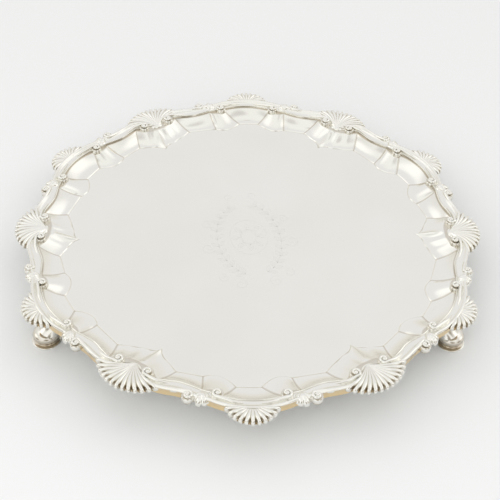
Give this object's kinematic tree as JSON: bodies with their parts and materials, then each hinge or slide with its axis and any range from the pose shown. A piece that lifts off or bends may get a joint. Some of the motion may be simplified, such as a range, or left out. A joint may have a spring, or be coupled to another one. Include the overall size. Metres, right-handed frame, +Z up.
{
  "type": "silver salver",
  "caption": "Round footed silver tray with a flat field, a fluted cavetto and a cast scroll and scallop shell border, for serving glasses, cards or a tea set.",
  "frame": {"origin": "on the ground under the middle of the tray, at the plane of the soles", "axes": "+Z up, square to the field; +X through the middle of a large shell; one foot lies on +Y"},
  "size_m": [0.3246, 0.33, 0.0317],
  "materials": {
    "sheet_silver": "polished sterling silver sheet",
    "cast_silver": "polished cast sterling silver"
  },
  "bodies": {
    "root": {"tray": "sheet_silver", "s_scroll_right_1": "cast_silver", "s_scroll_right_2": "cast_silver", "s_scroll_right_3": "cast_silver", "s_scroll_right_4": "cast_silver", "s_scroll_right_5": "cast_silver", "s_scroll_right_6": "cast_silver", "s_scroll_left_1": "cast_silver", "s_scroll_left_2": "cast_silver", "s_scroll_left_3": "cast_silver", "s_scroll_left_4": "cast_silver", "s_scroll_left_5": "cast_silver", "s_scroll_left_6": "cast_silver", "large_shell_1": "cast_silver", "large_shell_2": "cast_silver", "large_shell_3": "cast_silver", "large_shell_4": "cast_silver", "large_shell_5": "cast_silver", "large_shell_6": "cast_silver", "leaf_right_1": "cast_silver", "leaf_right_2": "cast_silver", "leaf_right_3": "cast_silver", "leaf_right_4": "cast_silver", "leaf_right_5": "cast_silver", "leaf_right_6": "cast_silver", "leaf_left_1": "cast_silver", "leaf_left_2": "cast_silver", "leaf_left_3": "cast_silver", "leaf_left_4": "cast_silver", "leaf_left_5": "cast_silver", "leaf_left_6": "cast_silver", "c_scroll_1": "cast_silver", "c_scroll_2": "cast_silver", "c_scroll_3": "cast_silver", "c_scroll_4": "cast_silver", "c_scroll_5": "cast_silver", "c_scroll_6": "cast_silver", "small_shell_1": "cast_silver", "small_shell_2": "cast_silver", "small_shell_3": "cast_silver", "small_shell_4": "cast_silver", "small_shell_5": "cast_silver", "small_shell_6": "cast_silver", "foot_1": "cast_silver", "foot_2": "cast_silver", "foot_3": "cast_silver"}
  },
  "joints": []
}
